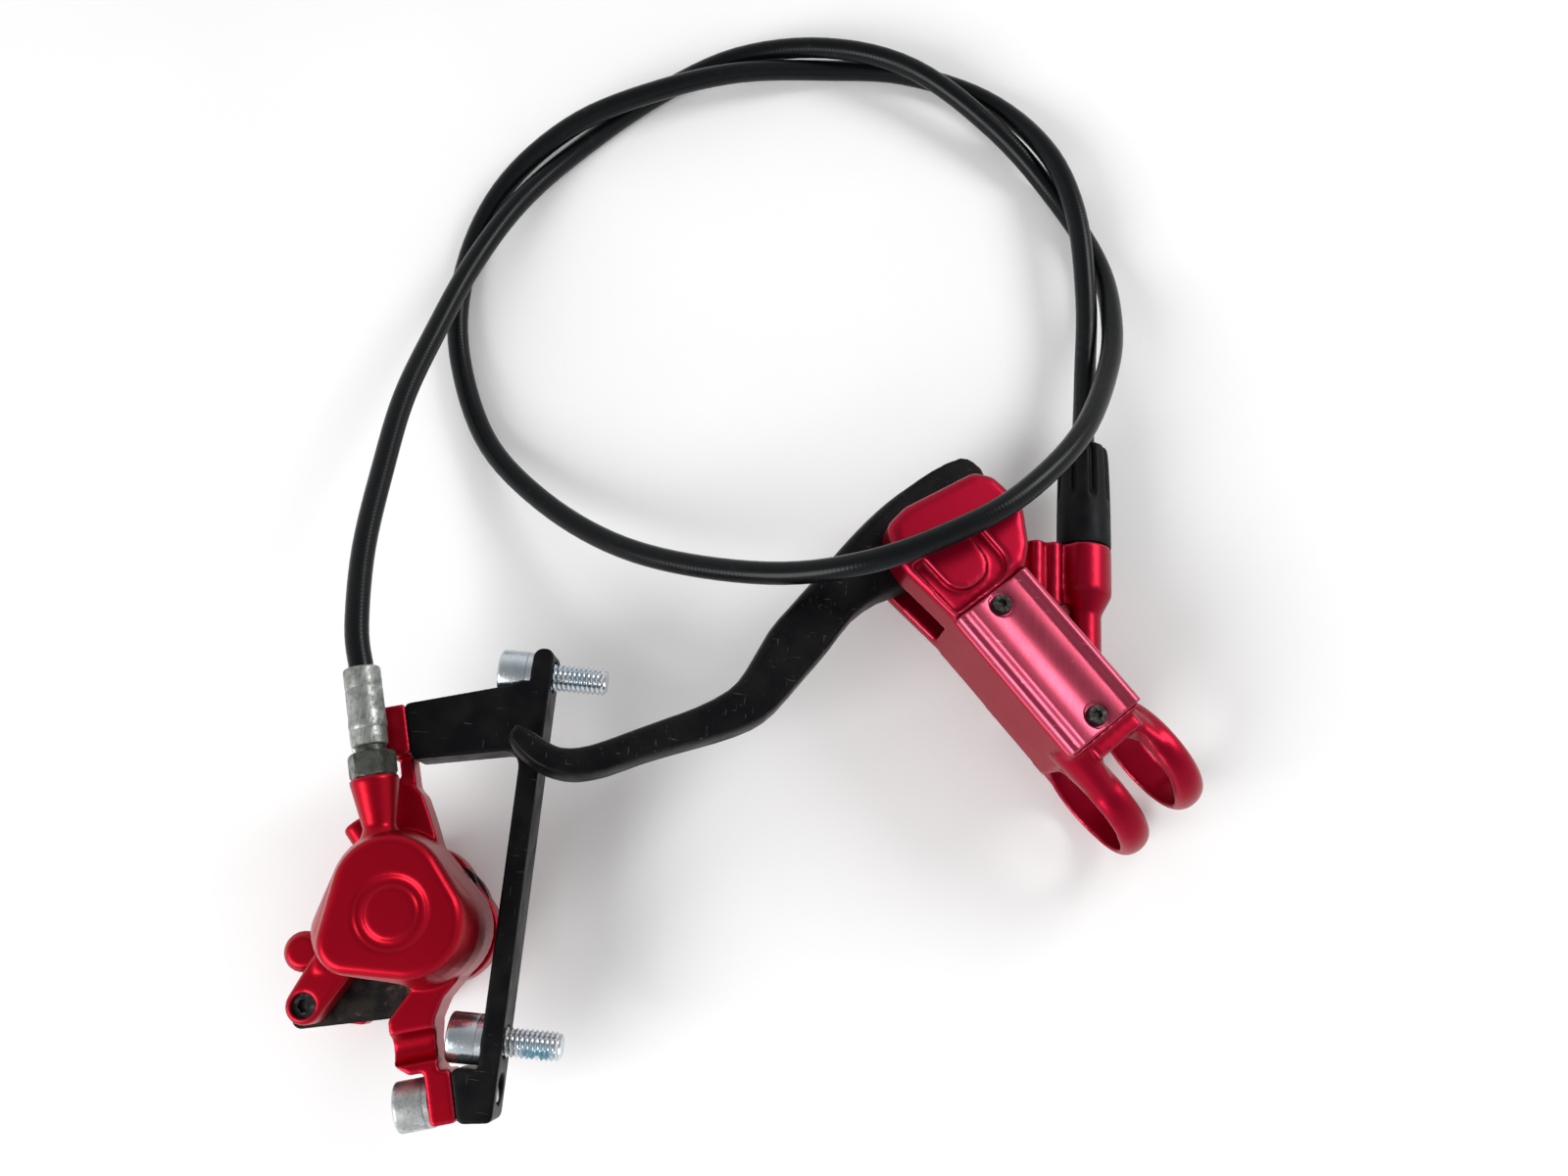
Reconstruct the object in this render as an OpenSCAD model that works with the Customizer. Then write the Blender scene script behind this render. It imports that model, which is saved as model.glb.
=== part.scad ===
// Hydraulic disc brake of a bicycle: two-piston caliper, fork adapter, hose and hand lever with reservoir.
// Millimetres. The origin lies between the two fork bolts on the face that meets the fork,
// +X points into the fork, +Y from the lower to the upper fork bolt, +Z up from the table.

/* [Fork mount] */
// distance between the two fork bolts
fork_spacing = 74; // [73:0.5:75]
// thread diameter of the four mounting bolts
bolt_dia = 6; // [5.6:0.1:6.2]
// thickness of the adapter and of the caliper ears
adapter_thick = 10.5; // [10:0.25:11]
// depth of the adapter spine along the fork bolts
spine_depth = 4.2; // [4:0.1:4.6]

/* [Caliper] */
// distance between the two caliper bolts
caliper_spacing = 74; // [73.5:0.25:74.5]
// height of the bolt line above the lowest face of the caliper
bolt_height = 25.5; // [25.3:0.1:26.5]
// diameter of the brake pistons
piston_dia = 22; // [21:0.25:22.2]
// width of the rotor pocket between the two walls
pocket_width = 12; // [11.8:0.1:12.2]

/* [Pads] */
// thickness of a backing plate
plate_thick = 1.8; // [1.6:0.1:1.9]
// thickness of a friction lining
lining_thick = 1.6; // [1:0.1:1.7]

/* [Lever] */
// handlebar diameter
bar_dia = 22.2; // [22:0.1:22.4]
// height of the lever blade
blade_thick = 8; // [7.5:0.1:8.3]
// diameter of the master cylinder
master_dia = 10; // [9.4:0.1:10.2]

/* [Hose] */
// outside diameter of the hose
hose_dia = 5; // [4.8:0.05:5.1]

/* [Hidden] */
$fn = 48;
fit = 0.05;
wide = 0.3;
bolt_r = bolt_dia / 2;
clear_r = bolt_r + wide;
head_r = bolt_r + 2;
half = adapter_thick / 2;
table = -bolt_height;

// caliper: place of its own frame, rotor pocket and piston
cal_x = -18;
cal_y = -12.5;
cal_turn = 15.7;
near_wall = 19.5 - bolt_height;
far_wall = near_wall - pocket_width;
piston_x = -5;
piston_y = -0.5;
piston_r = piston_dia / 2;
bore_r = piston_r + fit;
pad_play = 0.4;
plate_out = near_wall - pad_play;
plate_in = far_wall + pad_play;
ear = 5.2;
web_low = near_wall + 0.75;
washer = 1;
fork_washer = 1.2;
lug_x = -28.2;
lug_y = -14.25;
pin_r = 2;
inlet_x = -6.6;
inlet_z = 10.5;

// lever: bar clamp, pivot, master cylinder and the outlet port
bar_r = bar_dia / 2;
wire_w = 3.8;
wire_t = 2.6;
ring_r = bar_r + 0.2;
hoop_x = 7.7;
bar_x = 0.7;
bar_y = -0.3;
bar_z = -1.1;
mid = 4.8;
low_face = mid - blade_thick / 2;
reach = 91.5;
lift = half + bolt_height + 0.33 - ring_r - wire_t - 0.986 * (low_face - bar_z);
lever_tilt = asin(lift / (reach + bar_x));
lever_turn = 43.9;
lever_x = 122.4;
lever_y = 28.6;
lever_z = table + ring_r + wire_t + 0.02 + bar_x * sin(lever_tilt) - bar_z * cos(lever_tilt);
pivot_x = 10.5;
pivot_y = 64.5;
pivot_r = 2.5;
axis_x = -2.9;
master_r = master_dia / 2;
seat = 16;
rod_y = 62;
rod_r = 2.5;
port_x = 7.4;
port_y = 22.3;
port_turn = -42.85;
port_end = 28;
hose_r = hose_dia / 2;
core_r = 1.25;
barb_r = core_r - 0.12;
boot_end = 53;
sleeve_end = 49.6;

// colours of the finishes
c_red = [0.68, 0.05, 0.10];
c_lid = [0.78, 0.22, 0.30];
c_black = [0.04, 0.04, 0.045];
c_steel = [0.62, 0.63, 0.62];
c_zinc = [0.70, 0.74, 0.75];
c_dark = [0.12, 0.12, 0.12];
c_brass = [0.70, 0.55, 0.25];
c_rubber = [0.05, 0.05, 0.05];

// outline helpers: rounded corners [x, y, r], inward shift, smooth curve through points
function unit(v) = v / norm(v);
function flat(l) = [for (a = l) for (b = a) b];
function corner(a, b, c, k) =
  let(u = unit([a[0] - b[0], a[1] - b[1]]), v = unit([c[0] - b[0], c[1] - b[1]]))
  let(w = acos(max(-1, min(1, u * v))) / 2, d = b[2] / tan(w), m = unit(u + v) * (b[2] / sin(w)))
  let(o = [b[0] + m[0], b[1] + m[1]], p = [b[0], b[1]] + u * d, q = [b[0], b[1]] + v * d)
  b[2] < 0.01 ? [[b[0], b[1]]]
  : [for (i = [0:k]) let(t = i / k, s = unit((p - o) * (1 - t) + (q - o) * t)) o + s * b[2]];
function rounded(p, k = 5) =
  let(n = len(p)) flat([for (i = [0:n - 1]) corner(p[(i + n - 1) % n], p[i], p[(i + 1) % n], k)]);
function shrink(p, d) =
  let(n = len(p))
  [for (i = [0:n - 1])
    let(a = unit(p[(i + 1) % n] - p[i]), b = unit(p[i] - p[(i + n - 1) % n]))
    let(t = unit(a + b), m = [-t[1], t[0]], c = max(0.5, a * t))
    p[i] + m * ((is_list(d) ? d[i] : d) / c)];
function curve(p, k) =
  let(n = len(p))
  flat([for (i = [0:n - 2])
    let(a = p[max(0, i - 1)], b = p[i], c = p[i + 1], d = p[min(n - 1, i + 2)])
    [for (j = [0:(i == n - 2 ? k : k - 1)])
      let(t = j / k)
      0.5 * (2 * b + (c - a) * t + (2 * a - 5 * b + 4 * c - d) * t * t
        + (3 * b - a - 3 * c + d) * t * t * t)]]);
function at(p, z) = [for (q = p) [q[0], q[1], z]];
function belt(c, inset, n = 40) =
  [for (i = [0:n - 1])
    let(a = 360 * i / n, d = [cos(a), sin(a)])
    let(s = [for (q = c) q[0] * d[0] + q[1] * d[1] + q[2]], m = max(s), k = search(m, s)[0])
    [c[k][0] + (c[k][2] - inset) * d[0], c[k][1] + (c[k][2] - inset) * d[1]]];

module loft(rings) {
  n = len(rings[0]);
  m = len(rings);
  e = (m - 1) * n;
  low = [for (i = [0:n / 2 - 2]) for (f = [[i, i + 1, n - 2 - i], [i, n - 2 - i, n - 1 - i]]) f];
  top = [for (i = [0:n / 2 - 2]) for (f = [[e + i, e + n - 2 - i, e + i + 1],
    [e + i, e + n - 1 - i, e + n - 2 - i]]) f];
  side = [for (j = [0:m - 2]) for (i = [0:n - 1])
    let(a = j * n + i, b = j * n + (i + 1) % n)
    for (f = [[a, a + n, b + n], [a, b + n, b]]) f];
  polyhedron(points = flat(rings), faces = concat(low, top, side));
}
module xrod(a, b, r, y = 0, z = 0, r2 = -1)
  translate([a, y, z]) rotate([0, 90, 0]) cylinder(h = b - a, r1 = r, r2 = r2 < 0 ? r : r2);
module yrod(a, b, r, x = 0, z = 0, r2 = -1)
  translate([x, a, z]) rotate([-90, 0, 0]) cylinder(h = b - a, r1 = r, r2 = r2 < 0 ? r : r2);
module zrod(a, b, r, x = 0, y = 0, r2 = -1)
  translate([x, y, a]) cylinder(h = b - a, r1 = r, r2 = r2 < 0 ? r : r2);
module box(a, b) translate(a) cube(b - a);
module slab(p, a, b) translate([0, 0, a]) linear_extrude(height = b - a) polygon(p);
module caliper_frame() translate([cal_x, cal_y, 0]) rotate([0, 0, cal_turn]) children();
module lever_frame() translate([lever_x, lever_y, lever_z]) rotate([0, lever_tilt, lever_turn]) children();
module bar_frame() translate([bar_x, bar_y, bar_z]) rotate([0, -lever_tilt, 0]) children();
module port_frame() lever_frame() translate([port_x, port_y, mid]) rotate([0, 0, port_turn]) children();

// caliper coordinates seen from the adapter
function kw(x, y) =
  [cal_x + x * cos(cal_turn) - y * sin(cal_turn), cal_y + x * sin(cal_turn) + y * cos(cal_turn)];
fork_y = fork_spacing / 2;
cal_bolt = caliper_spacing / 2;
bolt_len = 7.5;

// fork adapter with spine, upper arm and lower boss
module adapter() color(c_black) difference() {
  slab(rounded([
    [0, -fork_y - 15, 1.2], [0, fork_y + 5.2, 1.6], [-spine_depth, fork_y + 5.2, 2.2],
    [-spine_depth, fork_y - 1.2, 2.5], [-spine_depth - 4, fork_y - 3.2, 3],
    [kw(0, cal_bolt + 5)[0], kw(0, cal_bolt + 5)[1], 0.8],
    [kw(0, cal_bolt - 6.8)[0], kw(0, cal_bolt - 6.8)[1], 0.8],
    [-spine_depth, fork_y - 16.3, 3],
    [-spine_depth, -fork_y - 5.4, 0.6],
    [kw(0, -cal_bolt + 5.8)[0], kw(0, -cal_bolt + 5.8)[1] + 0.1, 1.2],
    [kw(0, -cal_bolt - 4.8)[0], kw(0, -cal_bolt - 4.8)[1], 1.5]]), -half, half);
  for (s = [-1, 1]) xrod(-spine_depth - 2, 1, clear_r, s * fork_y, 0);
  xrod(-spine_depth - 8.5, -spine_depth, head_r + 0.5, fork_y, 0);
  caliper_frame() {
    xrod(-1, 10, bolt_r, cal_bolt, 0);
    xrod(-1, 12, bolt_r, -cal_bolt, 0);
  }
}

// bolt shape: head toward -X, shank to the given end, hexagon socket
module bolt(head, end) difference() {
  union() {
    xrod(head - 5.5, head, head_r, 0, 0);
    xrod(head - 6, head - 5.5, head_r - 0.5, 0, 0, head_r);
    xrod(head, 0, bolt_r - 0.25, 0, 0);
    xrod(0, end - 0.6, bolt_r - fit, 0, 0);
    xrod(end - 0.6, end, bolt_r - fit, 0, 0, bolt_r - 0.6);
  }
  translate([head - 6.1, 0, 0]) rotate([0, 90, 0]) cylinder(h = 3.4, r = 2.5 / cos(30), $fn = 6);
}
module fork_bolts() color(c_zinc)
  for (s = [-1, 1]) translate([0, s * fork_y, 0]) bolt(-spine_depth - fork_washer, 11.2);
module fork_washers() color(c_zinc)
  for (s = [-1, 1]) translate([0, s * fork_y, 0]) difference() {
    xrod(-spine_depth - fork_washer, -spine_depth, head_r, 0, 0);
    xrod(-spine_depth - fork_washer - 1, 0, clear_r, 0, 0);
  }
module caliper_bolts() color(c_zinc) caliper_frame()
  for (s = [-1, 1]) translate([0, s * cal_bolt, 0]) bolt(-ear - washer, bolt_len);
module caliper_washers() color(c_zinc) caliper_frame()
  for (s = [-1, 1]) translate([0, s * cal_bolt, 0]) difference() {
    xrod(-ear - washer, -ear, head_r, 0, 0);
    xrod(-ear - washer - 1, 0, clear_r, 0, 0);
  }

// caliper body, one piece: near half, far half, bridge, ears, lugs and hose inlet
base_line = [[-1, -4, 11.3], [-17, -1.5, 6.9], [-7, 5, 12]];
skirt_line = [[-1.3, -4.2, 11.5], [-17, -1, 6.9], [-7, 5, 12]];
top_line = [[-2.2, -2.9, 11.1], [-13.9, -4.3, 6.5], [-5.3, 3.8, 11.3]];
far_line = [[-2.2, -4, 11], [-15.5, -3, 7.5], [-6, 4, 11]];
shelf_line = [[lug_x, lug_y, 3.8], [-20, -5.5, 4.6]];
module caliper_body() color(c_red) caliper_frame() difference() {
  union() {
    loft([at(belt(base_line, 0), near_wall), at(belt(skirt_line, 0), 3),
      at(belt(skirt_line * 0.8 + top_line * 0.2, 0), 8), at(belt(skirt_line * 0.4 + top_line * 0.6, 0), 12),
      at(belt(top_line, 0), 14.8), at(belt(top_line, 0.5), 16.2), at(belt(top_line, 1.6), 17)]);
    loft([at(belt(far_line, 1.2), table), at(belt(far_line, 0), table + 1.4),
      at(belt(far_line, 0), far_wall)]);
    loft([at(belt(shelf_line, 0), near_wall), at(belt(shelf_line, 0), 0.6), at(belt(shelf_line, 0.9), 1.5)]);
    slab(rounded([[-25, -8.3, 0.6], [-23, -8.3, 0.5], [-18.6, 1.5, 0.5], [-17.2, 11.8, 0.5],
      [-19, 10.6, 0.6], [-21.8, 5.4, 1], [-23.8, 0, 1], [-24.6, -4, 1]]), far_wall - 6, 1.8);
    zrod(far_wall - 1.5, -5, 4.2, -28.8, -3.4);
    zrod(-5, -3.5, 4.2, -28.8, -3.4, 3);
    slab(rounded([[-32.5, -17, 3.8], [-22, -20, 1], [-14, -14, 1], [-14, -6, 1], [-25, -8, 1],
      [-32.5, -11, 3]]), far_wall - 5.5, far_wall);
    // bleed boss on the far half
    translate([-13, 9, far_wall - 3]) rotate([0, 0, 26]) {
      yrod(-2, 14.9, 3);
      yrod(14.9, 15.5, 3, 0, 0, 2.5);
    }
    // hose inlet, flared at both ends
    yrod(6, 17, 3.3, inlet_x, inlet_z);
    yrod(13, 16.6, 4.9, inlet_x, inlet_z, 3.4);
    yrod(17, 26.4, 3.3, inlet_x, inlet_z, 4.95);
    yrod(26.4, 27, 4.95, inlet_x, inlet_z, 4.6);
    // ears with their webs
    slab(rounded([[-ear, cal_bolt - 5.5, 0.8], [0, cal_bolt - 5.5, 0.8], [0, cal_bolt + 5, 0.8],
      [-ear, cal_bolt + 5, 0.8]]), -half, half);
    slab([[-3.5, 22], [-0.6, 24], [-0.6, cal_bolt - 5], [-3.5, cal_bolt - 5]], -half, 1);
    slab(rounded([[-8, 12, 0.5], [2.7, 11, 0.5], [1.5, 18.8, 1], [0.6, 23.1, 1], [-1, 25.7, 0.8],
      [-4.3, 27.4, 0.5], [-8, 26.5, 0.5]]), near_wall, 1.5);
    slab(rounded([[-11, -28.8, 0.6], [-8, -31.2, 0.5], [-2.2, -31.2, 0.3], [-2.6, -26, 1],
      [-1.8, -21.4, 1], [0.3, -17.9, 1], [4.5, -14.3, 0.5], [-3, -12.5, 0.5], [-10.9, -20.3, 0.6]]),
      web_low, half);
    slab(rounded([[-ear, -cal_bolt - 4.5, 0.8], [0, -cal_bolt - 4.5, 0.8], [0, -cal_bolt + 5.7, 0.8],
      [-ear, -cal_bolt + 5.7, 0.3]]), -half, half);
    box([-ear, -31.8, -half], [-2.2, -29, half]);
  }
  // piston bores with seal grooves
  zrod(near_wall - 0.5, 12, bore_r, piston_x, piston_y);
  zrod(near_wall + 1.4, near_wall + 3.2, bore_r + 1.85, piston_x, piston_y);
  zrod(table - 0.5, far_wall + 0.5, bore_r, piston_x, piston_y);
  zrod(far_wall - 2.9, far_wall - 1.3, bore_r + 1.55, piston_x, piston_y);
  zrod(table - 0.5, table + 2.65, bore_r + 1.1, piston_x, piston_y);
  // ring groove in the near face
  difference() {
    zrod(16.4, 18, 7.2, piston_x, piston_y);
    zrod(16.3, 18.1, 5.1, piston_x, piston_y);
  }
  // fluid inlet with its thread
  yrod(6, 21, 1.2, inlet_x, inlet_z);
  yrod(20, 28, 3 + fit, inlet_x, inlet_z);
  // bolt holes in the ears
  for (s = [-1, 1]) xrod(-ear - 1, 1, clear_r, s * cal_bolt, 0);
  // half-round scoop in the lower web
  xrod(-12.5, 1, 3, -26.1, half + 0.2);
  // pad pin hole, its recess and the bleed hole
  zrod(near_wall - 1, 2, pin_r + fit, lug_x, lug_y);
  zrod(-1.2, 2, pin_r + 0.5, lug_x, lug_y);
  zrod(far_wall - 4.6, far_wall + 1, pin_r + fit, lug_x, lug_y);
  translate([-13, 9, far_wall - 3]) rotate([0, 0, 26]) yrod(7, 16, 1.5 + fit);
}

module bore_cap() color(c_red) caliper_frame() difference() {
  union() {
    zrod(table + 0.1, table + 1.65, bore_r + 1.05, piston_x, piston_y);
    zrod(table + 1.65, table + 2.55, bore_r - 0.15, piston_x, piston_y);
  }
  for (s = [-1, 1]) zrod(table - 0.1, table + 1.2, 1.1, piston_x + s * 7.5, piston_y);
}
module cap_seal() color(c_rubber) caliper_frame()
  translate([piston_x, piston_y, table + 2.12]) rotate_extrude()
    translate([bore_r + 0.47, 0]) circle(r = 0.42, $fn = 16);
module piston_outer() color(c_steel) caliper_frame() difference() {
  zrod(plate_out, 8, piston_r, piston_x, piston_y);
  zrod(plate_out - 1, 2.6, piston_r - 2.5, piston_x, piston_y);
}
module piston_inner() color(c_steel) caliper_frame() difference() {
  zrod(table + 2.75, plate_in, piston_r, piston_x, piston_y);
  zrod(plate_in - 3, plate_in + 1, piston_r - 2.5, piston_x, piston_y);
}
module square_seal(a, b, r) caliper_frame() difference() {
  zrod(a, b, r, piston_x, piston_y);
  zrod(a - 1, b + 1, piston_r + 0.02, piston_x, piston_y);
}
module piston_seal_outer() color(c_rubber) square_seal(near_wall + 1.45, near_wall + 3.15, bore_r + 1.8);
module piston_seal_inner() color(c_rubber) square_seal(far_wall - 2.85, far_wall - 1.35, bore_r + 1.5);

// brake pads: steel plates with bonded linings, hung on the pad pin
plate_line = rounded([[-33, -18.4, 2], [-8, -20.2, 3], [2, -14, 3], [6.5, -4, 4], [5.5, 8, 4],
  [-3, 11, 5], [-12, 9.5, 4], [-15.5, 3.5, 3], [-22, -9.5, 2], [-29, -9.8, 1], [-33, -12.5, 1.5]]);
lining_line = rounded([[-17, -8, 1.5], [-14, -19, 2], [-7, -19, 2], [2, -13, 2], [5.6, -4, 3],
  [4, 6, 2], [-13, 6, 2]]);
module plate(a, b) caliper_frame() difference() {
  slab(plate_line, a, b);
  zrod(a - 1, b + 1, pin_r + 0.2, lug_x, lug_y);
}
module pad_plate_outer() color(c_dark) plate(plate_out - plate_thick, plate_out);
module pad_plate_inner() color(c_dark) plate(plate_in, plate_in + plate_thick);
module pad_lining_outer() color([0.2, 0.17, 0.14]) caliper_frame()
  slab(lining_line, plate_out - plate_thick - lining_thick, plate_out - plate_thick);
module pad_lining_inner() color([0.2, 0.17, 0.14]) caliper_frame()
  slab(lining_line, plate_in + plate_thick, plate_in + plate_thick + lining_thick);
module pad_pin() color(c_dark) caliper_frame() difference() {
  union() {
    zrod(far_wall - 4.5, -1.2, pin_r, lug_x, lug_y);
    zrod(-1.2, 0.2, pin_r + 0.4, lug_x, lug_y);
  }
  translate([lug_x, lug_y, -0.9]) cylinder(h = 2, r = 1.25 / cos(30), $fn = 6);
}
module bleed_screw() color(c_dark) caliper_frame()
  translate([-13, 9, far_wall - 3]) rotate([0, 0, 26]) difference() {
    union() {
      yrod(7.4, 14.6, 1.5);
      yrod(14.6, 15, 1.5, 0, 0, 1.3);
    }
    translate([0, 13.4, 0]) rotate([-90, 0, 0]) cylinder(h = 2, r = 0.9 / cos(30), $fn = 6);
  }

// hose fitting at the caliper: hexagon with thread and barb, crimped sleeve
module hose_fitting() color(c_steel) caliper_frame() difference() {
  union() {
    yrod(21, 27, 3, inlet_x, inlet_z);
    translate([inlet_x, 27, inlet_z]) rotate([-90, 0, 0]) cylinder(h = 5, r = 4.25 / cos(30), $fn = 6);
    yrod(32, 33.4, 3.05, inlet_x, inlet_z);
    yrod(33.4, 43, barb_r, inlet_x, inlet_z);
  }
  yrod(20, 44, 0.7, inlet_x, inlet_z);
}
module crimp_sleeve() color(c_steel) caliper_frame() difference() {
  union() {
    yrod(33.4, 37, hose_r + 1.1, inlet_x, inlet_z);
    yrod(37, 38.6, hose_r + 1.35, inlet_x, inlet_z);
    yrod(38.6, sleeve_end - 0.4, hose_r + 1.25, inlet_x, inlet_z);
    yrod(sleeve_end - 0.4, sleeve_end, hose_r + 1.25, inlet_x, inlet_z, hose_r + 0.85);
  }
  yrod(33, 36.5, core_r, inlet_x, inlet_z);
  yrod(36, sleeve_end + 1, hose_r + fit, inlet_x, inlet_z);
}

// hose route in the part frame; both ends follow the axes of their fittings
function cal_point(x, y, z) = [kw(x, y)[0], kw(x, y)[1], z];
function turn_z(p, a) = [p[0] * cos(a) - p[1] * sin(a), p[0] * sin(a) + p[1] * cos(a), p[2]];
function turn_y(p, a) = [p[0] * cos(a) + p[2] * sin(a), p[1], -p[0] * sin(a) + p[2] * cos(a)];
function lever_point(p) = turn_z(turn_y(p, lever_tilt), lever_turn) + [lever_x, lever_y, lever_z];
function port_point(s) = lever_point(turn_z([0, s, 0], port_turn) + [port_x, port_y, mid]);
hose_way = [[-40.5, 42.5, 9.5], [-43, 60, 5.5], [-43.5, 80, 0], [-43, 98.5, -5], [-40, 117, -10.5],
  [-35, 137, -15], [-27, 156, -18.5], [-15, 173.5, -22], [2, 190.5, -22.9], [21.5, 202.5, -21.5],
  [44, 205, -18], [66, 200, -16.5], [88, 186, -19], [104.5, 170, -22.5], [114.5, 153.5, -21],
  [117, 136.5, -14.5], [115, 120, -6.5], [107.5, 99.5, 5], [94.5, 82.5, 12.5], [81, 72.5, 15],
  [64.5, 65, 13.5], [46.5, 62.5, 6.5], [25, 65, -3], [6.5, 70.5, -10.5], [-11, 80.5, -17],
  [-26, 94, -21.5], [-35, 111, -22.9], [-39, 129, -22.9], [-37, 149, -22.5], [-29, 165, -20],
  [-14.5, 178.5, -17], [4, 188.5, -16.5], [23, 196.5, -18.5], [44.5, 201.5, -22.3],
  [64, 202.5, -22.9], [84.5, 196.5, -22], [99.5, 182, -17.8], [107.5, 164.5, -16],
  [111, 142, -15.8], [111.4, 122, -14.8]];
hose_line = concat(
  [cal_point(inlet_x, 36.7, inlet_z), cal_point(inlet_x, 43, inlet_z)],
  curve(concat([cal_point(inlet_x, sleeve_end + 0.5, inlet_z)], hose_way, [port_point(boot_end + 4)]), 2),
  [port_point(boot_end - 1), port_point(port_end + 8), port_point(17.2)]);
function swept(p, r, n) =
  let(m = len(p))
  [for (i = [0:m - 1])
    let(t = unit(p[min(m - 1, i + 1)] - p[max(0, i - 1)]), u = unit(cross(t, [0, 0, 1])))
    let(v = cross(u, t))
    [for (k = [0:n - 1]) let(a = 360 * k / n) p[i] + u * (r * cos(a)) - v * (r * sin(a))]];
module pipe(p, r, q, n) {
  m = len(p);
  out = swept(p, r, n);
  core = swept(p, q, n);
  o = m * n;
  faces_out = [for (j = [0:m - 2]) for (i = [0:n - 1])
    let(a = j * n + i, b = j * n + (i + 1) % n) for (f = [[a, a + n, b + n], [a, b + n, b]]) f];
  faces_in = [for (j = [0:m - 2]) for (i = [0:n - 1])
    let(a = o + j * n + i, b = o + j * n + (i + 1) % n) for (f = [[a, b + n, a + n], [a, b, b + n]]) f];
  start = [for (i = [0:n - 1]) let(j = (i + 1) % n) for (f = [[i, j, o + j], [i, o + j, o + i]]) f];
  e = (m - 1) * n;
  stop = [for (i = [0:n - 1]) let(j = (i + 1) % n)
    for (f = [[e + i, e + o + j, e + j], [e + i, e + o + i, e + o + j]]) f];
  polyhedron(points = flat(concat(out, core)), faces = concat(faces_out, faces_in, start, stop));
}
module hose() color(c_rubber) pipe(hose_line, hose_r, core_r, 10);

// boot, nut, olive and insert at the lever end
module hose_boot() color(c_rubber) port_frame() difference() {
  union() {
    yrod(port_end, boot_end - 11, 6, 0, 0, 5.9);
    yrod(boot_end - 11, boot_end - 1.2, 5.9, 0, 0, 5.5);
    yrod(boot_end - 1.2, boot_end, 5.5, 0, 0, 4.4);
  }
  yrod(port_end - 1, port_end + 6.1, 4.85);
  yrod(port_end + 5, boot_end + 1, hose_r + fit);
  for (k = [0:7]) rotate([0, 45 * k + 22, 0]) translate([0, 0, 6.4]) rotate([-4, 0, 0])
    yrod(boot_end - 9, boot_end + 2, 1.1);
}
module lever_hose_nut() color(c_steel) port_frame() difference() {
  union() {
    yrod(19.2, port_end, 4);
    translate([0, port_end, 0]) rotate([-90, 0, 0]) cylinder(h = 5.6, r = 4 / cos(30), $fn = 6);
  }
  yrod(18, port_end + 7, hose_r + 0.1);
}
module olive() color(c_brass) port_frame() difference() {
  union() {
    yrod(17.4, 18.4, 3.3, 0, 0, 3.9);
    yrod(18.4, 19.2, 3.9, 0, 0, 3.4);
  }
  yrod(17, 20, hose_r + 0.02);
}
module hose_insert() color(c_brass) port_frame() difference() {
  union() {
    yrod(16, 17.2, hose_r - 0.1);
    yrod(17.2, 24, barb_r);
  }
  yrod(15, 25, 0.6);
}

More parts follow.
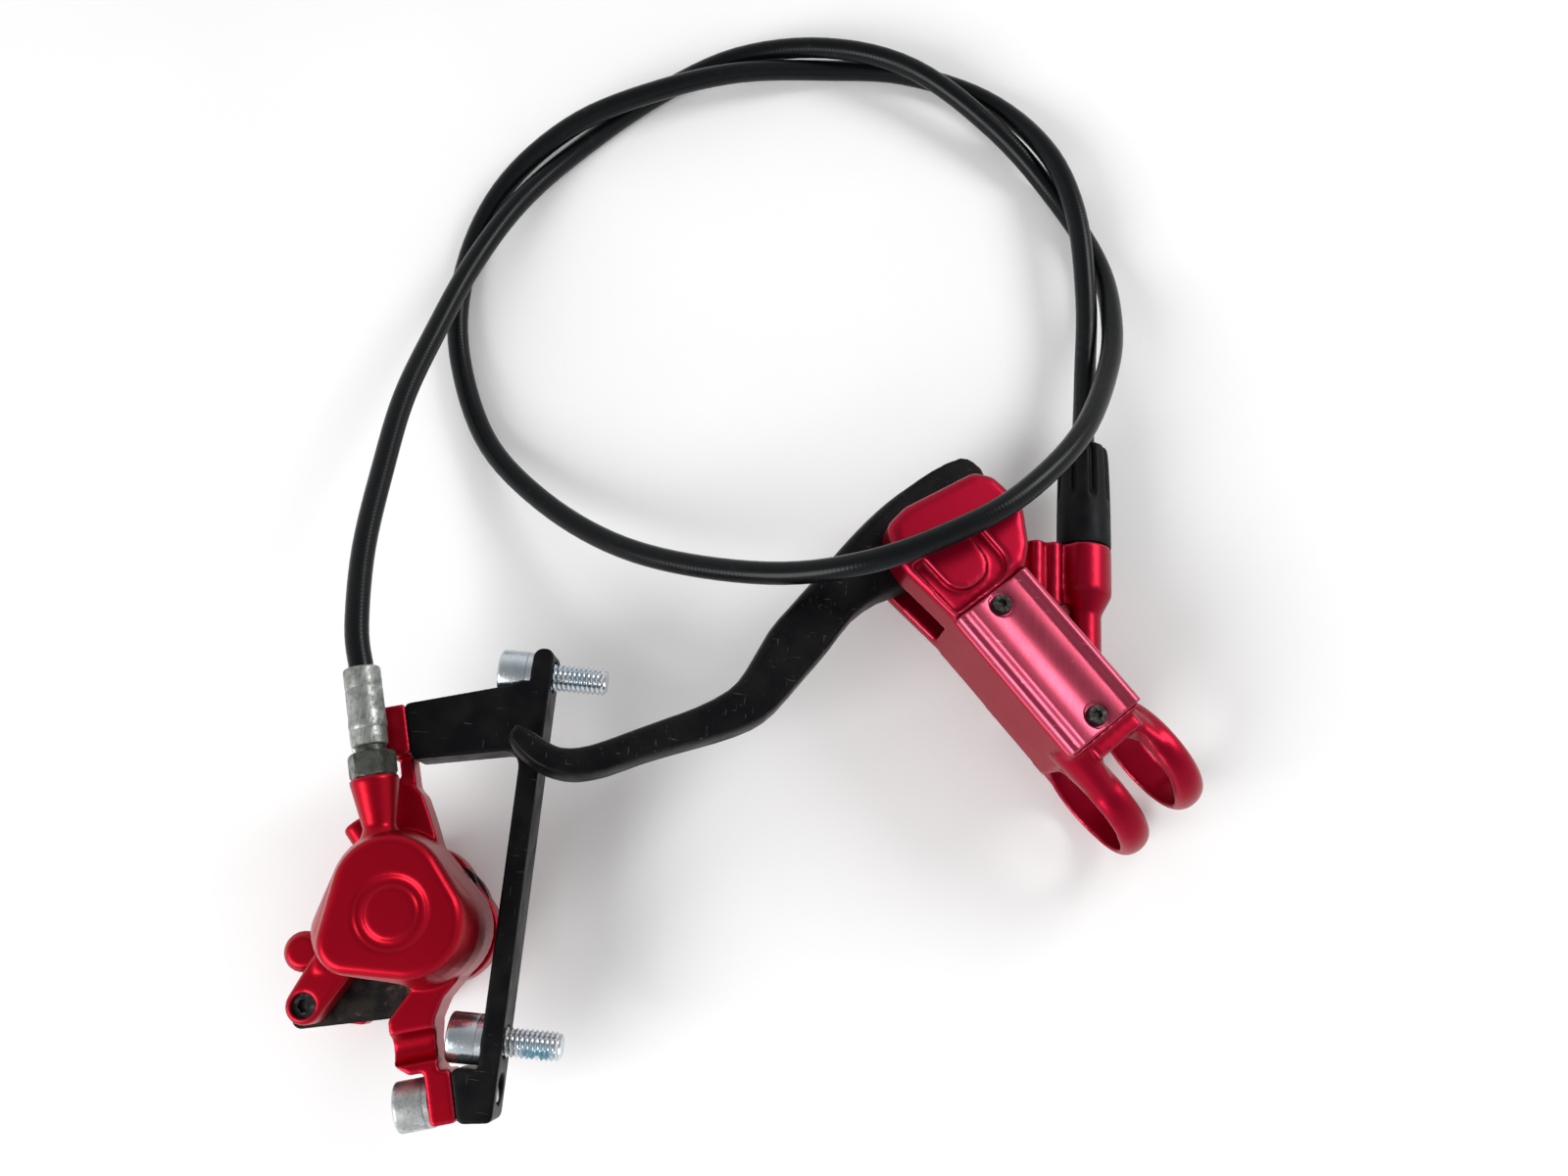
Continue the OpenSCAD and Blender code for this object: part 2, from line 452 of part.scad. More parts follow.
// lever body: bar clamp, reservoir, master cylinder, lever head and outlet
head_line = rounded([[16, 57, 3], [16, 61.5, 4], [15.4, 66.5, 3], [12.5, 69.8, 3], [-5, 72.4, 3],
  [-11, 71.5, 3], [-14.2, 65, 4], [-14.6, 61, 3], [-13, 46.6, 0], [7.1, 46.6, 0], [11, 49.6, 2]], 3);
slot_low = mid - blade_thick / 2 - wide;
slot_top = mid + blade_thick / 2 + wide;
module master_body() color(c_red) {
  lever_frame() difference() {
    union() {
      bar_frame() {
        for (s = [-1, 1]) translate([s * hoop_x, 0, 0]) rotate([0, 90, 0])
          rotate_extrude() translate([ring_r, 0]) scale([wire_t, wire_w]) circle(r = 1, $fn = 32);
        translate([-hoop_x - 0.3, -1, ring_r - 0.4]) rotate([11, 0, 0]) yrod(0, 14.5, 2.9, 0, 0, 4.6);
        translate([hoop_x, -1, ring_r - 0.4]) rotate([3, 0, 18]) yrod(0, 15, 2.9, 0, 0, 4.6);
      }
      slab(rounded([[-13, 9.5, 1.5], [7, 9.5, 1.5], [7, 47, 0.3], [-13, 47, 0.3]]), -2.4, 17);
      box([-8, 6, 7], [4.5, 13, 15.8]);
      slab(rounded([[-8, 9, 1], [3, 9, 1], [3, 24, 2], [-8, 24, 2]]), -12, -3.6);
      box([-9.5, 8.5, -11], [11.2, 14, -3.6]);
      loft([at(shrink(head_line, 0.8), -3.2), at(head_line, -2.2), at(head_line, 16.6),
        at(shrink(head_line, 0.6), 17.5), at(shrink(head_line, 1.6), 18)]);
      translate([port_x, port_y, mid]) rotate([0, 0, port_turn]) {
        yrod(-4, 12.5, 3.7);
        yrod(12.5, 17, 3.7, 0, 0, 6);
        yrod(17, port_end, 6);
        box([-16, 14, -4.6], [-3, port_end, 2.4]);
        yrod(13, port_end, 1.9, -7.6, 2.2);
        yrod(15, port_end, 1.9, -11.6, 2.2);
      }
    }
    // bar, gap between the hoops, clamping slit
    bar_frame() {
      xrod(-16, 16, bar_r);
      xrod(-3.6, 3.6, bar_r + 1.2);
    }
    zrod(2, 20, 3, 0.6, 3.2);
    box([-2.4, -18, 2], [3.6, 3.2, 20]);
    box([-14, 5, -3.6], [14, 26, -2.4]);
    // seat of the lid, reservoir, rebate of the diaphragm, lid screw holes
    box([-14, 10.1, seat], [15, 46.7, 20]);
    slab(rounded([[-10.4, 17.5, 2], [4.6, 17.5, 2], [4.6, 39.5, 2], [-10.4, 39.5, 2]]), 10.8, seat + 1);
    slab(rounded([[-11.7, 16.2, 2], [5.9, 16.2, 2], [5.9, 40.8, 2], [-11.7, 40.8, 2]]), seat - 0.8, seat + 1);
    for (y = [13.4, 43.4]) zrod(seat - 4, seat + 1, 1.25 + fit, axis_x, y);
    // master cylinder with ring groove, reservoir port, way to the hose port
    yrod(22, 52, master_r, axis_x, mid);
    yrod(46.3, 47.4, master_r + 0.8, axis_x, mid);
    zrod(mid, 12, 0.5, axis_x, 29.5);
    xrod(axis_x, 11.4, 1.1, 26.8, mid);
    translate([port_x, port_y, mid]) rotate([0, 0, port_turn]) {
      yrod(4, 17, 1.4);
      yrod(16, port_end + 1, 4 + fit);
    }
    // slot of the lever blade and pivot hole
    slab([[-22, 46.8], [0, 48.8], [4.4, 55.2], [22, 56], [22, 80], [-22, 80]], slot_low, slot_top);
    zrod(-4, 16.5, pivot_r + fit, pivot_x, pivot_y);
    // moat round the tongue of the head
    difference() {
      slab(rounded([[-12.1, 47.6, 1], [4.8, 47.6, 4.5], [4.8, 61, 0.5], [-13, 61, 0.5]]), 16.5, 19);
      slab(rounded([[-9.3, 50, 4.6], [0.9, 50, 4.6], [2, 62.5, 0.5], [-10, 62.5, 0.5]]), 16.3, 19.1);
    }
    // clamp screw hole
    zrod(-13, -8.4, 4.5, axis_x, 18);
    zrod(-9, -3, 2.75, axis_x, 18);
    zrod(-3, 8.6, 2.5, axis_x, 18);
  }
}
module reservoir_lid() color(c_lid) lever_frame() difference() {
  translate([0, 46.6, 0]) rotate([90, 0, 0]) linear_extrude(height = 36.4)
    polygon([[-12.9, seat], [7.1, seat], [7.1, seat + 1.2], [6.5, seat + 1.9], [5.6, seat + 2.2],
      [4.6, seat + 2], [3.4, seat + 1.55], [2, seat + 1.5], [-7.8, seat + 1.5],
      [-9.2, seat + 1.55], [-10.4, seat + 2],
      [-11.4, seat + 2.2], [-12.3, seat + 1.9], [-12.9, seat + 1.2]]);
  for (y = [13.4, 43.4]) {
    zrod(seat - 1, seat + 3, 1.35, axis_x, y);
    zrod(seat + 0.9, seat + 3, 2.65, axis_x, y);
  }
}
module lid_screws() color(c_dark) lever_frame() for (y = [13.4, 43.4]) difference() {
  union() {
    zrod(seat - 3.6, seat + 0.9, 1.25, axis_x, y);
    zrod(seat + 0.9, seat + 1.9, 2.2, axis_x, y, 1.9);
  }
  translate([axis_x, y, seat + 1.1]) cylinder(h = 1, r = 0.9 / cos(30), $fn = 6);
}
module diaphragm() color(c_rubber) lever_frame() difference() {
  slab(rounded([[-11.6, 16.3, 2], [5.8, 16.3, 2], [5.8, 40.7, 2], [-11.6, 40.7, 2]]), seat - 2.4, seat);
  slab(rounded([[-9.4, 18.5, 1.5], [3.6, 18.5, 1.5], [3.6, 38.5, 1.5], [-9.4, 38.5, 1.5]]), seat - 1.6, seat + 1);
  difference() {
    slab([[-13, 15], [7, 15], [7, 42], [-13, 42]], seat - 3, seat - 0.8);
    slab(rounded([[-10.2, 17.7, 2], [4.4, 17.7, 2], [4.4, 39.3, 2], [-10.2, 39.3, 2]]), seat - 4, seat);
  }
}
module clamp_screw() color(c_dark) lever_frame() difference() {
  union() {
    zrod(-12.4, -8.4, 4.2, axis_x, 18);
    zrod(-8.4, 7.6, 2.5 - fit, axis_x, 18);
  }
  translate([axis_x, 18, -13]) cylinder(h = 3, r = 2 / cos(30), $fn = 6);
}

// master piston, its seals, spring, push rod and retaining ring
module master_piston() color(c_steel) lever_frame() difference() {
  union() {
    yrod(34, 46, master_r - fit, axis_x, mid);
    yrod(32.6, 34, 2.6, axis_x, mid);
  }
  for (y = [35, 42]) difference() {
    yrod(y, y + 1.8, master_r + 1, axis_x, mid);
    yrod(y - 1, y + 3, master_r - 1.8, axis_x, mid);
  }
  yrod(44, 47, 2.1, axis_x, mid);
}
module cup_seal(y) lever_frame() difference() {
  yrod(y + 0.1, y + 1.7, master_r - 0.02, axis_x, mid);
  yrod(y - 1, y + 3, master_r - 1.75, axis_x, mid);
}
module primary_seal() color(c_rubber) cup_seal(35);
module secondary_seal() color(c_rubber) cup_seal(42);
module retaining_ring() color(c_steel) lever_frame() difference() {
  yrod(46.4, 47.3, master_r + 0.7, axis_x, mid);
  yrod(46, 48, 3, axis_x, mid);
}
module pushrod() color(c_steel) lever_frame() {
  yrod(44, rod_y, 1.9, axis_x, mid);
  translate([axis_x, rod_y, mid]) sphere(r = rod_r);
}
coil = [for (i = [0:72]) let(a = 20 * i, y = 22.6 + 10.9 * i / 72)
  [axis_x + 3.7 * cos(a), y, mid + 3.7 * sin(a)]];
function ring_of(p, a, n) =
  [for (k = [0:n - 1]) let(b = 360 * k / n)
    p + [cos(a), 0, sin(a)] * (0.5 * cos(b)) + [0, 1, 0] * (0.5 * sin(b))];
module return_spring() color(c_steel) lever_frame()
  loft([for (i = [0:72]) ring_of(coil[i], 20 * i, 6)]);

// hand lever with its pivot
// stations of the blade from the pivot end to the tip: outer edge x, y, then inner edge x, y
blade_ways = [[18.6, 70.5, 16.5, 63.4], [18.4, 73, 14.6, 60.7], [16.6, 75.6, 10.5, 59.3],
  [9.5, 77.2, 5, 59], [3, 77.6, -1.5, 58.8], [-3, 77.6, -7, 58.8], [-10, 76.9, -12, 59.4],
  [-18.3, 75.4, -18.6, 61.4], [-28.5, 73.1, -26.2, 61.6], [-36.3, 71.5, -34.3, 59.5],
  [-42.8, 70, -42.4, 57.8], [-52.2, 66.1, -52.1, 55.8], [-57.7, 65, -58.2, 55.9],
  [-65.1, 66.1, -65.6, 58.1], [-71.6, 68, -73.7, 61.3], [-78.3, 70, -80.7, 63.9],
  [-84.7, 71.9, -87.9, 66.1], [-89.2, 73.7, -93.3, 68.8], [-92.3, 76.1, -96.6, 72.1],
  [-93.7, 79.1, -98.5, 75.5], [-94.6, 82.1, -99.4, 79.1], [-95.4, 84.3, -99.6, 82.3],
  [-96.6, 85.4, -99.2, 84.1]];
blade_smooth = curve(blade_ways, 2);
blade_n = len(blade_smooth);
blade_line = concat([for (q = blade_smooth) [q[0], q[1]]],
  [for (i = [blade_n - 1:-1:0]) [blade_smooth[i][2], blade_smooth[i][3]]]);
function edge(o, n) = [for (i = [0:2 * blade_n - 1])
  let(k = min(i, 2 * blade_n - 1 - i), f = min(1, max(0, (k - 5) / 6))) (i < blade_n ? o : n) * f];
function blade_ring(o, n, z) = at(shrink(blade_line, edge(o, n)), z);
module lever_blade() color(c_black) lever_frame() translate([0, 0, low_face]) difference() {
  loft([blade_ring(1.7, 0.6, 0), blade_ring(0.6, 0.2, 0.8), blade_ring(0, 0, 2.2),
    blade_ring(0, 0, blade_thick - 2.2), blade_ring(0.6, 0.2, blade_thick - 0.8),
    blade_ring(1.7, 0.6, blade_thick)]);
  zrod(-1, blade_thick + 1, pivot_r + 0.9, pivot_x, pivot_y);
  box([-11.5, 50, -1], [2.6, rod_y + rod_r + fit, blade_thick + 1]);
}
module pivot_pin() color(c_steel) lever_frame() zrod(-3, 16.3, pivot_r, pivot_x, pivot_y);
module pivot_bushes() color(c_brass) lever_frame()
  for (z = [low_face + 0.05, mid + 0.1]) difference() {
    zrod(z, z + blade_thick / 2 - 0.15, pivot_r + 0.87, pivot_x, pivot_y);
    zrod(z - 1, z + blade_thick, pivot_r + 0.03, pivot_x, pivot_y);
  }

adapter();
fork_bolts();
fork_washers();
caliper_bolts();
caliper_washers();
caliper_body();
bore_cap();
cap_seal();
piston_outer();
piston_inner();
piston_seal_outer();
piston_seal_inner();
pad_plate_outer();
pad_plate_inner();
pad_lining_outer();
pad_lining_inner();
pad_pin();
bleed_screw();
hose_fitting();
crimp_sleeve();
hose();
hose_boot();
lever_hose_nut();
olive();
hose_insert();
master_body();
reservoir_lid();
lid_screws();
diaphragm();
clamp_screw();
master_piston();
primary_seal();
secondary_seal();
retaining_ring();
pushrod();
return_spring();
lever_blade();
pivot_pin();
pivot_bushes();
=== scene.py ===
import bpy
import numpy as np
from mathutils import Matrix


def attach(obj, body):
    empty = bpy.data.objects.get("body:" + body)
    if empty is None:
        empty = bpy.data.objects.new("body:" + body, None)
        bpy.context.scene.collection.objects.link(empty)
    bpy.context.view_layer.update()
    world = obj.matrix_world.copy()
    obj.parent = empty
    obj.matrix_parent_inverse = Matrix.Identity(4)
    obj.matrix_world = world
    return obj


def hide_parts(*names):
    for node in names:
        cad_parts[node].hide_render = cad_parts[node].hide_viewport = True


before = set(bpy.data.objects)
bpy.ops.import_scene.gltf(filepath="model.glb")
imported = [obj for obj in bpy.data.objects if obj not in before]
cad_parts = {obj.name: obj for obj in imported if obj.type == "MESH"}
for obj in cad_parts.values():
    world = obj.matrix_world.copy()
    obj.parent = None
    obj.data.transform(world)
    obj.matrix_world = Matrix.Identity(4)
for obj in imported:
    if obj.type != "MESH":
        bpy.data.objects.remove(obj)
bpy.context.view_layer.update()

# Camera
# The brake lies on a white table and is seen from about 30 cm above it,
# 14 degrees from straight down, with its fork end at the lower left.
eye = (0.0535, -0.0151, 0.3062)
to_right = (0.9958, 0.0918, 0.0)
to_top = (-0.0891, 0.9662, 0.2419)
away = (-0.0222, 0.2409, -0.9703)
lens = bpy.data.cameras.new("camera")
lens.lens, lens.sensor_width, lens.sensor_fit = 33.75, 36.0, "HORIZONTAL"
lens.clip_start = 0.01
camera = bpy.data.objects.new("camera", lens)
camera.matrix_world = Matrix(
    [[to_right[i], to_top[i], -away[i], eye[i]] for i in range(3)] + [[0, 0, 0, 1]]
)
bpy.context.scene.collection.objects.link(camera)
bpy.context.scene.camera = camera

# Hose
# Brake hose, 5 mm thick: a hard nylon jacket, faintly ribbed every 0.9 mm by the braid under it. It is
# pushed on the barb of the caliper fitting, makes one loose turn on the table and ends in the lever's
# port. Points and lengths are in mm until hose_way is turned into metres.
hose_radius, hose_sides = 2.5, 24
wave_of_jacket = 0.9
caliper_origin = np.array([-18.0, -12.5, 0.0])
caliper_axes = np.array([[0.962692, 0.270600, 0], [-0.270600, 0.962692, 0], [0, 0, 1]])
lever_origin = np.array([122.4, 28.6, -10.37905])
lever_axes = np.array(
    [
        [0.71055217, 0.68377963, -0.16601518],
        [-0.69340183, 0.72055111, 0],
        [0.11962243, 0.11511523, 0.98612320],
    ]
)
port_lean = np.radians(-42.85)
port_axes = (
    np.array(
        [
            [np.cos(port_lean), np.sin(port_lean), 0],
            [-np.sin(port_lean), np.cos(port_lean), 0],
            [0, 0, 1],
        ]
    )
    @ lever_axes
)
port_origin = lever_origin + np.array([7.4, 22.3, 4.8]) @ lever_axes
loop = [
    (-40.5, 42.5, 9.5), (-43, 60, 5.5), (-43.5, 80, 0), (-43, 98.5, -5), (-40, 117, -10.5),
    (-35, 137, -15), (-27, 156, -18.5), (-15, 173.5, -22), (2, 190.5, -22.9), (21.5, 202.5, -21.5),
    (44, 205, -18), (66, 200, -16.5), (88, 186, -19), (104.5, 170, -22.5), (114.5, 153.5, -21),
    (117, 136.5, -14.5), (115, 120, -6.5), (107.5, 99.5, 5), (94.5, 82.5, 12.5), (81, 72.5, 15),
    (64.5, 65, 13.5), (46.5, 62.5, 6.5), (25, 65, -3), (6.5, 70.5, -10.5), (-11, 80.5, -17),
    (-26, 94, -21.5), (-35, 111, -22.9), (-39, 129, -22.9), (-37, 149, -22.5), (-29, 165, -20),
    (-14.5, 178.5, -17), (4, 188.5, -16.5), (23, 196.5, -18.5), (44.5, 201.5, -22.3),
    (64, 202.5, -22.9), (84.5, 196.5, -22), (99.5, 182, -17.8), (107.5, 164.5, -16),
    (111, 142, -15.8), (111.4, 122, -14.8),
]


class Shade:
    """A shader socket that takes part in plain arithmetic: each operator adds one Math node."""

    def __init__(self, socket):
        self.socket = socket

    def node(self, kind, settings=None, sockets=None, output=0):
        """Any node of the same material: its settings are set first, then its sockets."""
        tree = self.socket.id_data
        made = tree.nodes.new("ShaderNode" + kind)
        for key, value in (settings or {}).items():
            setattr(made, key, value)
        for key, value in (sockets or {}).items():
            if isinstance(value, Shade):
                tree.links.new(value.socket, made.inputs[key])
            else:
                made.inputs[key].default_value = value
        return Shade(made.outputs[output])

    def math(self, operation, *values):
        return self.node("Math", {"operation": operation}, dict(enumerate(values)))

    def __add__(self, other):
        return self.math("ADD", self, other)

    __radd__ = __add__

    def __mul__(self, other):
        return self.math("MULTIPLY", self, other)

    __rmul__ = __mul__

    def __sub__(self, other):
        return self.math("SUBTRACT", self, other)

    def __rsub__(self, other):
        return self.math("SUBTRACT", other, self)

    def between(self, low, high):
        """0 below low, 1 above high, a straight rise between them."""
        return self.node("MapRange", {"clamp": True}, {"Value": self, "From Min": low, "From Max": high})

    def grain(self, size, detail=3.0, output=0):
        """Noise whose patches are about size mm wide, from a position."""
        return self.node(
            "TexNoise", None, {"Vector": self, "Scale": 1000.0 / size, "Detail": detail}, output
        )

    def stretched(self, x, y, z, turn=(0.0, 0.0, 0.0)):
        """The same position turned and drawn out, for grain that runs one way."""
        return self.node(
            "Mapping", {"vector_type": "POINT"}, {"Vector": self, "Rotation": turn, "Scale": (x, y, z)}
        )

    def colours(self, none, full):
        """The colour none where the mask is 0 and full where it is 1; either may be a Shade."""
        fixed = [c if isinstance(c, Shade) else (*c, 1.0) for c in (none, full)]
        return self.node(
            "Mix", {"data_type": "RGBA"}, {"Factor": self, 6: fixed[0], 7: fixed[1]}, 2
        )

    def part(self, name):
        """One of x, y, z of a position, in mm."""
        index = "xyz".index(name)
        return self.node("SeparateXYZ", None, {"Vector": self}, index) * 1000.0


def finish(name, **plain):
    """A new material with plain values on its shader. Gives the material, its shader and the
    position on the piece as a Shade."""
    material = bpy.data.materials.new(name)
    material.use_nodes = True
    shader = material.node_tree.nodes["Principled BSDF"]
    for key, value in plain.items():
        shader.inputs[key.replace("_", " ")].default_value = value
    place = Shade(material.node_tree.nodes.new("ShaderNodeTexCoord").outputs["Object"])
    return material, shader, place


def coat(shader, colour=None, roughness=None, metallic=None, height=None, depth=0.02):
    """Links what varies over the surface: colour, roughness, metallic, and a bump depth mm high."""
    links = shader.id_data.links
    for socket, shade in (("Base Color", colour), ("Roughness", roughness), ("Metallic", metallic)):
        if shade is not None:
            links.new(shade.socket, shader.inputs[socket])
    if height is not None:
        relief = height.node("Bump", None, {"Height": height, "Distance": depth * 0.001, "Strength": 1.0})
        links.new(relief.socket, shader.inputs["Normal"])


def attribute(place, name):
    return place.node("Attribute", {"attribute_name": name}, None, 2)


def dress(piece, material):
    piece.data.materials.clear()
    piece.data.materials.append(material)
    return piece


def skin(name, rings, joined=False, crease=40.0, **fields):
    """A closed skin over rings of points in metres (rings, points round, 3): quads between
    neighbouring rings, and a fan to the middle of the first and last one, or the last ring joins the
    first. fields are numbers kept on each point."""
    count, around, _ = rings.shape
    steps = count if joined else count - 1
    ring, spot = np.meshgrid(np.arange(steps), np.arange(around), indexing="ij")
    after, beside = (ring + 1) % count, (spot + 1) % around
    quads = np.stack(
        [ring * around + spot, ring * around + beside, after * around + beside, after * around + spot], -1
    ).reshape(-1, 4)
    points, faces = rings.reshape(-1, 3), quads.tolist()
    if not joined:
        points = np.vstack([points, rings[0].mean(0), rings[-1].mean(0)])
        edge = np.arange(around)
        turn = (edge + 1) % around
        last = (count - 1) * around
        faces += np.stack([np.full(around, count * around), turn, edge], -1).tolist()
        faces += np.stack([np.full(around, count * around + 1), last + edge, last + turn], -1).tolist()
    a, b, c, d = (points[quads[:, k]] for k in range(4))
    if (np.cross(b - a, c - a) * a).sum() + (np.cross(c - a, d - a) * a).sum() < 0:
        faces = [f[::-1] for f in faces]
    mesh = bpy.data.meshes.new(name)
    mesh.from_pydata(points.tolist(), [], faces)
    for key, value in fields.items():
        value = np.asarray(value, float).reshape(-1)
        if not joined:
            value = np.append(value, [value[:around].mean(), value[-around:].mean()])
        mesh.attributes.new(key, "FLOAT", "POINT").data.foreach_set("value", value)
    mesh.polygons.foreach_set("use_smooth", np.ones(len(mesh.polygons), bool))
    mesh.set_sharp_from_angle(angle=np.radians(crease))
    piece = bpy.data.objects.new(name, mesh)
    bpy.context.scene.collection.objects.link(piece)
    return piece


def smooth_way(points, steps):
    """Points on the curve that passes through the given ones: between b and c, with their
    neighbours a and d, (2b + (c-a)t + (2a-5b+4c-d)t^2 + (3b-a-3c+d)t^3) / 2."""
    p = np.vstack([points[:1], points, points[-1:]])
    a, b, c, d = (p[k : len(p) - 3 + k, None] for k in range(4))
    t = (np.arange(steps) / steps)[None, :, None]
    way = 0.5 * (2 * b + (c - a) * t + (2 * a - 5 * b + 4 * c - d) * t**2 + (3 * b - a - 3 * c + d) * t**3)
    return np.vstack([way.reshape(-1, 3), points[-1:]])


def on_caliper(x, y, z):
    return caliper_origin + np.array([x, y, z]) @ caliper_axes


def on_port(along):
    return port_origin + along * port_axes[1]


loop_way = smooth_way(np.vstack([on_caliper(-6.6, 50.1, 10.5), loop, on_port(57)]), 6)
hose_way = np.vstack(
    [
        [on_caliper(-6.6, y, 10.5) for y in (36.7, 40.0, 43.0, 47.0)],
        loop_way,
        [on_port(s) for s in (54.2, 52.0, 48.0, 42.0, 36.0, 30.0, 24.0, 17.2)],
    ]
)
hose_way *= 0.001
spans = np.linalg.norm(np.diff(hose_way, axis=0), axis=1)
travelled = np.concatenate([[0], np.cumsum(spans)])
heading = np.vstack([hose_way[1] - hose_way[0], hose_way[2:] - hose_way[:-2], hose_way[-1] - hose_way[-2]])
heading /= np.linalg.norm(heading, axis=1)[:, None]
level = np.cross(heading, [0, 0, 1])
level /= np.linalg.norm(level, axis=1)[:, None]
upright = np.cross(level, heading)
turn = np.linspace(0, 2 * np.pi, hose_sides, endpoint=False)
round_hose = hose_way[:, None] + 0.001 * hose_radius * (
    level[:, None] * np.cos(turn)[None, :, None] + upright[:, None] * np.sin(turn)[None, :, None]
)
hose = skin("brake_hose", round_hose, along=np.repeat(travelled * 1000, hose_sides))
black_nylon, shader, place = finish("hose nylon", Roughness=0.3, Specular_IOR_Level=0.17)
along = attribute(place, "along")
turns = along * (2 * np.pi / wave_of_jacket)
rib = turns.math("SINE", turns)
dust = place.grain(9.0, 4.0).between(0.5, 0.75)
scuff = place.grain(1.6, 5.0).between(0.58, 0.72) * dust
coat(
    shader,
    colour=scuff.colours((0.0035, 0.0042, 0.005), (0.018, 0.019, 0.02)),
    roughness=0.27 + dust * 0.1 + scuff * 0.15,
    height=rib * 0.5 + place.grain(0.6, 2.0) * 0.3,
    depth=0.011,
)
dress(hose, black_nylon)
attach(hose, "brake")
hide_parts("hose")

# Fitting and sleeve
# The hose fitting is a steel hexagon screwed into the caliper, with a barb inside the hose. A grey
# zinc-plated sleeve is crimped over both; it is scratched and stained, with a band where it was held.


def turned(profile, start, axis, side, around=48, thread=None):
    """Rings of a turned part: profile rows are (distance along the axis, radius, half width over
    flats or 0). At angle t a row with flats has the smaller of the radius and flat / cos(t to the
    nearest of six flats), a hexagon with turned corners. thread = (from, to, pitch, depth) lowers the
    radius by depth times a triangle wave that climbs one pitch a turn."""
    along, radius, flat = np.asarray(profile, float).T
    t = np.linspace(0, 2 * np.pi, around, endpoint=False)
    off = (t + np.pi / 6) % (np.pi / 3) - np.pi / 6
    grid = np.repeat(radius[:, None], around, 1)
    six = flat[:, None] / np.cos(off)[None]
    grid = np.where(flat[:, None] > 0, np.minimum(grid, six), grid)
    if thread:
        low, high, pitch, depth = thread
        phase = (along[:, None] / pitch - t[None] / (2 * np.pi)) % 1.0
        wave = np.abs(2 * phase - 1) ** 0.8
        run = np.clip((along - low) / pitch, 0, 1) * np.clip((high - along) / pitch * 3, 0, 1)
        grid = grid - depth * wave * run[:, None]
    other = np.cross(axis, side)
    rings = start + along[:, None, None] * axis
    rings = rings + grid[..., None] * (
        np.cos(t)[None, :, None] * side + np.sin(t)[None, :, None] * other
    )
    return rings * 0.001


inlet = on_caliper(-6.6, 0, 10.5)
fitting = skin(
    "hose_fitting_hexagon",
    turned(
        [(21, 0.7, 0), (21, 2.6, 0), (21.4, 3, 0), (27, 3, 0), (27, 4.3, 4.25), (27.25, 4.65, 4.25),
         (27.5, 4.9, 4.25), (31.4, 4.9, 4.25), (31.8, 4.6, 4.25), (32, 4.1, 0), (32.05, 3.1, 0),
         (33.3, 3.05, 0), (33.3, 1.13, 0), (36, 1.13, 0), (42.8, 1.13, 0), (43, 0.95, 0), (43, 0.7, 0)],
        inlet, caliper_axes[1], caliper_axes[2],
    ),
    joined=True, crease=30.0,
)
sleeve_rows = [(33.4, 1.3, 0), (33.4, 3.3, 0), (33.6, 3.6, 0), (36.8, 3.62, 0), (37.1, 3.8, 0),
               (37.4, 3.85, 0), (38.3, 3.85, 0), (38.6, 3.76, 0), (41, 3.75, 0), (44.9, 3.75, 0),
               (45.1, 3.7, 0), (45.4, 3.7, 0), (45.6, 3.75, 0), (49, 3.75, 0), (49.4, 3.62, 0),
               (49.6, 3.3, 0), (49.6, 2.56, 0), (44, 2.56, 0), (36.5, 2.56, 0), (36.4, 1.3, 0)]
sleeve = skin(
    "crimp_sleeve_shell",
    turned(sleeve_rows, inlet, caliper_axes[1], caliper_axes[2]), joined=True, crease=30.0,
)
stained_steel, shader, place = finish("stained plated steel", Metallic=0.75, Roughness=0.42)
patch = place.grain(2.6, 5.0).between(0.42, 0.62)
speck = place.grain(0.7, 3.0).between(0.52, 0.66)
line = place.stretched(1, 0.12, 1, (0, 0, -0.274)).grain(0.35, 2.0).between(0.5, 0.7)
grey = patch.colours((0.33, 0.35, 0.335), (0.20, 0.21, 0.19))
grey = (speck * 0.55).colours(grey, (0.10, 0.095, 0.075))
coat(
    shader,
    colour=(line * 0.35).colours(grey, (0.62, 0.63, 0.61)),
    roughness=0.34 + patch * 0.2 + speck * 0.1,
    height=patch * 0.3 + line * 0.4 + speck * 0.3,
    depth=0.03,
)
fitting_steel, shader, place = finish("greenish fitting steel", Metallic=0.8, Roughness=0.35)
patch = place.grain(1.8, 5.0).between(0.4, 0.6)
coat(
    shader, colour=patch.colours((0.13, 0.14, 0.12), (0.048, 0.051, 0.040)),
    roughness=0.28 + patch * 0.25, height=patch, depth=0.03,
)
for piece, node, material in (
    (fitting, "hose_fitting", fitting_steel), (sleeve, "crimp_sleeve", stained_steel)
):
    dress(piece, material)
    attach(piece, "brake")
    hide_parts(node)

# Caliper body
# The caliper is machined from one piece of aluminium, bead blasted and anodised deep red: a round
# near half with a ring groove, the far half, the bridge, two mounting ears and the hose inlet.


